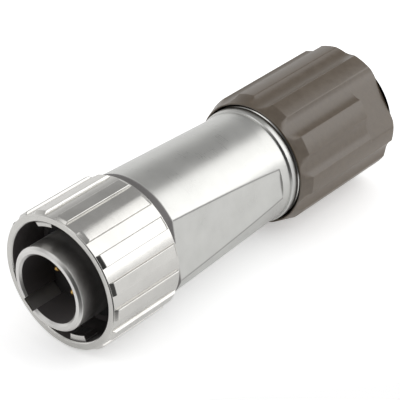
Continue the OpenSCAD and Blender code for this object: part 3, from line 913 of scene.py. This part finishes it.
class PLUG_OT_nut(PlugOperator, bpy.types.Operator):
    """Makes the fluted clamp nut"""

    bl_idname = "plug.nut"
    bl_label = "Clamp nut"

    def execute(self, context):
        s = sizes(context.scene.plug_nut)
        front, back = NUT_FRONT, NUT_BACK
        wall, mouth = back - s.wall, front + s.mouth_depth
        corners = [
            (front + 0.15, s.mouth_r), (front, s.mouth_r + 0.15), (front + 0.1, s.mouth_r + 0.25),
            (front + s.cone_len, s.outer_r), (back - 0.4, s.outer_r), (back, s.outer_r - 0.4),
            (back, s.entry_r + 0.9), (back - 0.9, s.entry_r), (wall, s.entry_r),
            (wall, s.bore_r), (mouth + 0.4, s.bore_r), (mouth, s.mouth_r),
        ]
        radii = [0.05, 0.05, 0.08, 0.5, 0.2, 0.2, 0.25, 0.25, 0.1, 0.1, 0.1, 0.1]
        profile = refine(rounded(corners, radii), 0.8)
        flat_front = back - s.flat_len
        profile = refine(profile, 0.06, near=[flat_front, front + 0.3, back], reach=0.35,
                         above=s.mouth_r)

        pitch = 2 * math.pi / s.flute_count
        centre = s.outer_r + s.flute_r - s.flute_depth
        cosine = (centre ** 2 + s.outer_r ** 2 - s.flute_r ** 2) / (2 * centre * s.outer_r)
        flute_half = math.acos(cosine)
        flute_edges = edges(s.flute_angle, flute_half, s.flute_count)
        flat_edges = edges(s.flat_angle, math.acos(s.flat_half / s.outer_r))
        angles = angles_at(flute_edges + flat_edges, count=240, steps=9)

        def radius(y, r, a):
            """Flutes with a round hollow, and two flats over the rear end."""
            off = off_from(a, s.flute_angle, pitch)
            inside = np.clip(s.flute_r ** 2 - (centre * np.sin(off)) ** 2, 0, None)
            hollow = np.where(inside > 0, centre * np.cos(off) - np.sqrt(inside), 1e3)
            flat = flat_radius(s.flat_half, off_from(a, s.flat_angle, math.pi))
            flat = np.where(y > flat_front, flat, 1e3)
            cut = soft_min(soft_min(r, hollow, 0.03), flat, 0.03)
            return np.where(r > s.mouth_r + 0.1, np.minimum(r, cut), r)

        piece("fluted_nut", [turned(profile, angles, radius)], "brown_plastic", "nut",
              ["clamp_nut"])
        return {"FINISHED"}


class PLUG_OT_clamp(PlugOperator, bpy.types.Operator):
    """Makes the rubber grommet that grips the cable"""

    bl_idname = "plug.clamp"
    bl_label = "Cable grommet"

    def execute(self, context):
        front, back, bore, outer = GROMMET_FRONT, GROMMET_BACK, 3.5, 5.0
        profile = refine(rounded(
            [(front, bore), (front, outer), (back, outer), (back, bore + 0.4),
             (back - 0.4, bore)], [0.1, 0.15, 0.25, 0.1, 0.1]), 0.12)

        def radius(y, r, a):
            """Shallow grip grooves in the bore: one wave of the radius for each 1.2 mm."""
            groove = 0.12 * (0.5 - 0.5 * np.cos(2 * math.pi * (y - front) / 1.2))
            in_bore = (r < bore + 0.01) & (y > front + 0.6) & (y < back - 0.7)
            return np.where(in_bore, r + groove, r)

        piece("rubber_grommet", [turned(profile, around(96), radius)],
              "black_rubber", "shell", ["cable_grommet"])
        return {"FINISHED"}


class PLUG_OT_inner(PlugOperator, bpy.types.Operator):
    """Gives the frame's own inner pieces their finishes"""

    bl_idname = "plug.inner"
    bl_label = "Inner pieces"

    def execute(self, context):
        slots = {p["node"]: p["material_slot"] for p in frame["record"]["subparts"]}
        for node, obj in frame["nodes"].items():
            obj.data.materials.clear()
            obj.data.materials.append(finishes()[slots[node]])
        return {"FINISHED"}


class PLUG_OT_stage(PlugOperator, bpy.types.Operator):
    """Sets up the floor, the backdrop, the lamps and the camera"""

    bl_idname = "plug.stage"
    bl_label = "Stage"

    def execute(self, context):
        scene = context.scene
        scene.view_settings.view_transform = "Standard"
        self.floor(scene)
        self.world(scene)
        middle = np.array([0, 0.03, 0])
        self.lamp("Window", (0.19, 0.24, 0.215), middle, (0.34, 0.34), 1.35)
        self.lamp("Fill", (-0.12, -0.22, 0.33), middle, (0.22, 0.22), 0.9)
        data = bpy.data.cameras.new("Camera")
        data.sensor_width, data.lens = 36.0, CAMERA_LENS
        data.clip_start, data.clip_end = 0.01, 10.0
        camera = bpy.data.objects.new("Camera", data)
        camera.location = CAMERA_AT
        camera.rotation_euler = (math.radians(90 - CAMERA_DOWN), 0, math.radians(CAMERA_TURN))
        scene.collection.objects.link(camera)
        scene.camera = camera
        return {"FINISHED"}

    @staticmethod
    def floor(scene):
        """A pale paper sheet that ends just in front of the view.

        Its own glow keeps it pale, and most of all for the camera. The glow fades a
        little where the object stands close, which leaves a faint contact shadow.
        """
        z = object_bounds()[0][2]
        ahead, aside = np.array([0.7537, -0.6572]), np.array([0.6572, 0.7537])
        near, far, side = 0.012, -2.0, 1.6
        ends = [ahead * near - aside * side, ahead * near + aside * side,
                ahead * far + aside * side, ahead * far - aside * side]
        mesh = bpy.data.meshes.new("floor")
        mesh.from_pydata([(x, y, z) for x, y in ends], [], [(0, 1, 2, 3)])
        obj = bpy.data.objects.new("floor", mesh)
        scene.collection.objects.link(obj)
        finish = bpy.data.materials.new("Floor")
        finish.use_nodes = True
        tree = finish.node_tree
        shader = tree.nodes["Principled BSDF"]
        fill(tree, shader, {"Base Color": (*scene.plug_finish.floor, 1),
                            "Roughness": 0.9, "Specular IOR Level": 0.1})
        hidden = add(tree, "ShaderNodeAmbientOcclusion", {"Distance": 0.03}, samples=8)
        seen = add(tree, "ShaderNodeLightPath")
        mirrored = map_to(tree, seen.outputs["Is Glossy Ray"], 0.30, 0.42, 0.0, 1.0)
        pictured = map_to(tree, seen.outputs["Is Camera Ray"], 0.0, 0.44, 0.0, 1.0)
        glow = add(tree, "ShaderNodeMath", {0: mirrored, 1: pictured}, operation="ADD")
        near = map_to(tree, hidden.outputs["AO"], 0.45, 1.0, 0.0, 1.0)
        lit = add(tree, "ShaderNodeMath", {0: glow.outputs[0], 1: near}, operation="MULTIPLY")
        glow = add(tree, "ShaderNodeEmission", {
            "Color": (1, 1, 1, 1), "Strength": lit.outputs[0]})
        both = add(tree, "ShaderNodeAddShader", {0: shader.outputs[0], 1: glow.outputs[0]})
        tree.links.new(both.outputs[0], tree.nodes["Material Output"].inputs["Surface"])
        mesh.materials.append(finish)
        obj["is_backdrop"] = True

    @staticmethod
    def world(scene):
        """White for the camera. The object sees a pale horizon, a grey ceiling, and a dim
        room on the camera's side."""
        world = bpy.data.worlds.new("Studio")
        world.use_nodes = True
        scene.world = world
        tree = world.node_tree
        tree.nodes.clear()
        toward = add(tree, "ShaderNodeTexCoord").outputs["Generated"]
        up = add(tree, "ShaderNodeSeparateXYZ", {0: toward})
        ceiling = add(tree, "ShaderNodeMapRange", {
            "Value": up.outputs["Z"], "From Min": 0.10, "From Max": 0.62,
            "To Min": 1.0, "To Max": 0.42}, interpolation_type="SMOOTHSTEP")
        front = add(tree, "ShaderNodeVectorMath", {
            0: toward, 1: (0.734, -0.679, 0.0)}, operation="DOT_PRODUCT")
        room = add(tree, "ShaderNodeMapRange", {
            "Value": front.outputs["Value"], "From Min": 0.50, "From Max": 0.82,
            "To Min": 1.0, "To Max": 0.07}, interpolation_type="SMOOTHSTEP")
        level = add(tree, "ShaderNodeMath", {0: ceiling.outputs[0], 1: room.outputs[0]},
                    operation="MULTIPLY")
        seen = add(tree, "ShaderNodeLightPath").outputs["Is Camera Ray"]
        strength = add(tree, "ShaderNodeMix", {"Factor": seen, "B": 1.0}, data_type="FLOAT")
        tree.links.new(level.outputs[0], strength.inputs["A"])
        sky = add(tree, "ShaderNodeBackground", {
            "Color": (1, 1, 1, 1), "Strength": strength.outputs[0]})
        out = add(tree, "ShaderNodeOutputWorld")
        tree.links.new(sky.outputs[0], out.inputs["Surface"])

    @staticmethod
    def lamp(name, place, target, size, radiance):
        """A soft box that faces the target. Its power is pi * area * radiance."""
        data = bpy.data.lights.new(name, "AREA")
        data.shape = "RECTANGLE"
        data.size, data.size_y = size
        data.energy = math.pi * size[0] * size[1] * radiance
        obj = bpy.data.objects.new(name, data)
        obj.location = place
        facing = Vector(target) - obj.location
        obj.rotation_euler = facing.to_track_quat("-Z", "Y").to_euler()
        bpy.context.scene.collection.objects.link(obj)


class PLUG_PT_panel(bpy.types.Panel):
    """Lists the plug's sizes and the operators that build it"""

    bl_idname = "PLUG_PT_panel"
    bl_label = "Cable plug"
    bl_space_type = "VIEW_3D"
    bl_region_type = "UI"
    bl_category = "Plug"

    def draw(self, context):
        for key in GROUPS:
            box = self.layout.box()
            group = getattr(context.scene, key)
            for name in group.__annotations__:
                box.prop(group, name)
        for operator in OPERATORS:
            self.layout.operator(operator.bl_idname)


GROUPS = {
    "plug_nose": PLUG_PG_nose,
    "plug_sleeve": PLUG_PG_sleeve,
    "plug_barrel": PLUG_PG_barrel,
    "plug_nut": PLUG_PG_nut,
    "plug_finish": PLUG_PG_finish,
}
OPERATORS = (
    PLUG_OT_inner, PLUG_OT_nose, PLUG_OT_contacts, PLUG_OT_sleeve, PLUG_OT_barrel,
    PLUG_OT_gland, PLUG_OT_nut, PLUG_OT_clamp, PLUG_OT_stage,
)


def register():
    for key, group in GROUPS.items():
        bpy.utils.register_class(group)
        setattr(bpy.types.Scene, key, bpy.props.PointerProperty(type=group))
    for cls in (*OPERATORS, PLUG_PT_panel):
        bpy.utils.register_class(cls)


def unregister():
    for cls in reversed((*OPERATORS, PLUG_PT_panel)):
        bpy.utils.unregister_class(cls)
    for key, group in reversed(GROUPS.items()):
        delattr(bpy.types.Scene, key)
        bpy.utils.unregister_class(group)


def main():
    """Builds the plug piece by piece."""
    register()
    for operator in OPERATORS:
        group, name = operator.bl_idname.split(".")
        getattr(getattr(bpy.ops, group), name)()


if __name__ == "__main__":
    main()
